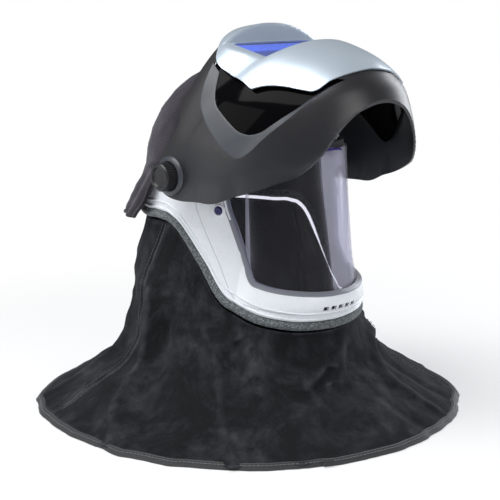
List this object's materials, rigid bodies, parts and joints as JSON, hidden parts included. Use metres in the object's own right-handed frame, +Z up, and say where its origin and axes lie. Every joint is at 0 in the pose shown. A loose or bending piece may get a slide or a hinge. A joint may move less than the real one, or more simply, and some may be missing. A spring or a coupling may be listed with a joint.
{
  "type": "respirator headtop",
  "caption": "Helmet headtop for supplied air, with a flip-up welding shield, a clear visor that lifts, a leather shroud and a rear inlet for a breathing tube.",
  "frame": {"origin": "centre of the bounding box on the surface that the shroud's hem stands on", "axes": "+Z up; the wearer faces -Y, and the wearer's right is -X"},
  "size_m": [0.5502, 0.553, 0.4711],
  "materials": {
    "shield_black": "fine matte moulding, glossier at the lower lip",
    "panel_silver": "bright silver metallic lacquer",
    "gloss_black": "polished, almost opaque",
    "helmet_white": "satin white moulding",
    "clear_visor": "clear curved sheet",
    "cover_clear": "clear sheet with a blue cast",
    "filter_dark": "dark navy filter",
    "cell_blue": "dark solar cell",
    "knob_black": "satin black moulding",
    "pin_blue": "dark blue moulding",
    "gasket_grey": "ribbed soft rubber",
    "leather_black": "brushed split leather",
    "cover_fabric": "dark napped fabric",
    "hem_tape": "bound edge",
    "band_grey": "flexible moulding",
    "pad_foam": "soft pad",
    "duct_grey": "moulding",
    "steel": "turned"
  },
  "bodies": {
    "helmet": {"helmet_shell": "helmet_white", "edge_gasket": "gasket_grey", "head_cover": "cover_fabric", "air_inlet": "duct_grey", "inlet_seal": "gasket_grey", "air_duct": "duct_grey", "headband": "band_grey", "sweatband": "pad_foam", "nape_pad": "pad_foam", "crown_strap_across": "band_grey", "crown_strap_along": "band_grey", "ratchet_housing": "band_grey", "pivot_post_right": "steel", "pivot_post_left": "steel", "friction_washer_right": "band_grey", "friction_washer_left": "band_grey", "shroud_front": "leather_black", "shroud_left": "leather_black", "shroud_rear": "leather_black", "hem_binding": "hem_tape", "hem_tab": "hem_tape"},
    "visor": {"visor_frame": "helmet_white", "visor_lens": "clear_visor", "visor_tab": "cover_clear", "visor_pin_right": "pin_blue", "visor_pin_left": "pin_blue", "exhaust_flap": "gasket_grey", "brow_seal": "gasket_grey"},
    "shield": {"shield_shell": "shield_black", "front_panel": "panel_silver", "side_window_right": "gloss_black", "side_window_left": "gloss_black", "pivot_ring_right": "shield_black", "pivot_ring_left": "shield_black", "outer_cover_plate": "cover_clear", "filter_cassette": "knob_black", "filter_glass": "filter_dark", "solar_cell": "cell_blue", "inner_cover_plate": "cover_clear"},
    "ratchet_knob": {"ratchet_knob": "knob_black"},
    "air_deflector": {"air_deflector": "duct_grey"},
    "knob_right": {"pivot_knob_right": "knob_black"},
    "knob_left": {"pivot_knob_left": "knob_black"},
    "battery_right": {"battery_holder_right": "knob_black"},
    "battery_left": {"battery_holder_left": "knob_black"},
    "shade_button": {"shade_button": "band_grey"},
    "delay_button": {"delay_button": "band_grey"},
    "sensitivity_button": {"sensitivity_button": "band_grey"}
  },
  "joints": [
    {"name": "shield_flip", "type": "hinge", "parent": "helmet", "child": "shield", "pos_m": [0, -0.011, 0.296], "axis": [-1, 0, 0], "range_deg": [-65, 5]},
    {"name": "visor_lift", "type": "hinge", "parent": "helmet", "child": "visor", "pos_m": [0, -0.011, 0.296], "axis": [-1, 0, 0], "range_deg": [0, 20]},
    {"name": "knob_turn_right", "type": "hinge", "parent": "helmet", "child": "knob_right", "pos_m": [-0.145, -0.011, 0.296], "axis": [-1, 0, 0], "range_deg": [-120, 120]},
    {"name": "knob_turn_left", "type": "hinge", "parent": "helmet", "child": "knob_left", "pos_m": [0.145, -0.011, 0.296], "axis": [1, 0, 0], "range_deg": [-120, 120]},
    {"name": "ratchet_turn", "type": "hinge", "parent": "helmet", "child": "ratchet_knob", "pos_m": [0, 0.098, 0.2775], "axis": [0, 1, 0], "continuous": true},
    {"name": "deflector_tilt", "type": "hinge", "parent": "helmet", "child": "air_deflector", "pos_m": [0, -0.108, 0.3465], "axis": [-1, 0, 0], "range_deg": [0, 20]},
    {"name": "battery_slide_right", "type": "slide", "parent": "shield", "child": "battery_right", "axis": [-1, 0, 0], "range_m": [0, 0.01]},
    {"name": "battery_slide_left", "type": "slide", "parent": "shield", "child": "battery_left", "axis": [1, 0, 0], "range_m": [0, 0.01]},
    {"name": "shade_press", "type": "slide", "parent": "shield", "child": "shade_button", "axis": [0, -0.2079, 0.9781], "range_m": [0, 0.0007], "stiffness_N_per_m": 400},
    {"name": "delay_press", "type": "slide", "parent": "shield", "child": "delay_button", "axis": [0, -0.2079, 0.9781], "range_m": [0, 0.0007], "stiffness_N_per_m": 400},
    {"name": "sensitivity_press", "type": "slide", "parent": "shield", "child": "sensitivity_button", "axis": [0, -0.2079, 0.9781], "range_m": [0, 0.0007], "stiffness_N_per_m": 400}
  ]
}
